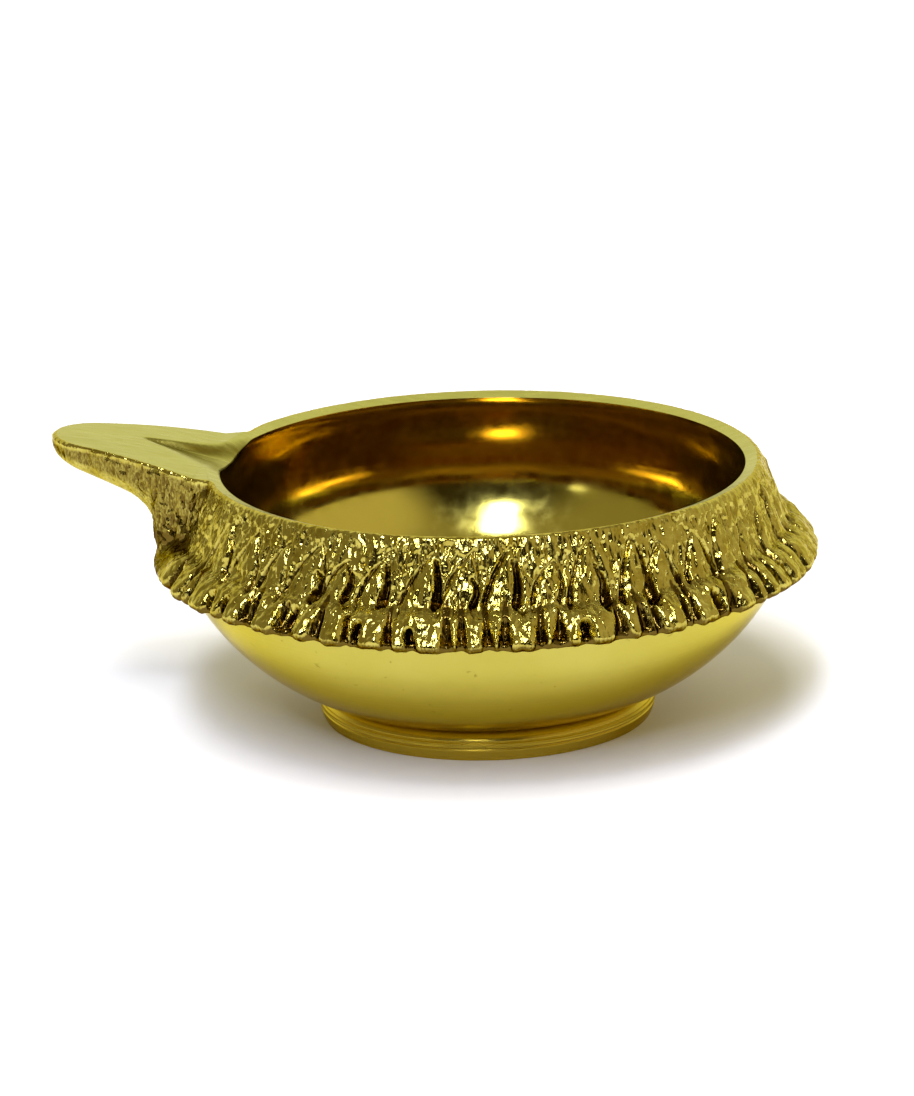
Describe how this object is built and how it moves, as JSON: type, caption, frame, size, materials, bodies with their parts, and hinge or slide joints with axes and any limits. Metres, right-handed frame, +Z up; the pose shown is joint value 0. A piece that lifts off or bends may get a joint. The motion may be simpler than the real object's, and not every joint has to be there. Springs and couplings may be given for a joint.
{
  "type": "diya oil lamp",
  "caption": "Small round brass diya with a turned foot, a smooth oil bowl and a textured lotus-petal collar drawn out into a pointed wick spout.",
  "frame": {"origin": "centre of the foot's underside, on the axis of the bowl", "axes": "+Z up through the bowl, the wick spout points to -X"},
  "size_m": [0.0701, 0.0606, 0.026],
  "materials": {
    "turned_foot": "turned brass with fine tool lines",
    "turned_bowl": "satin turned brass outside, polished inside",
    "cast_collar": "chiselled cast brass with dark recesses, filed flat on the rim and the top of the spout"
  },
  "bodies": {
    "root": {"foot_ring": "turned_foot", "bowl": "turned_bowl", "spout_collar": "cast_collar"}
  },
  "joints": []
}
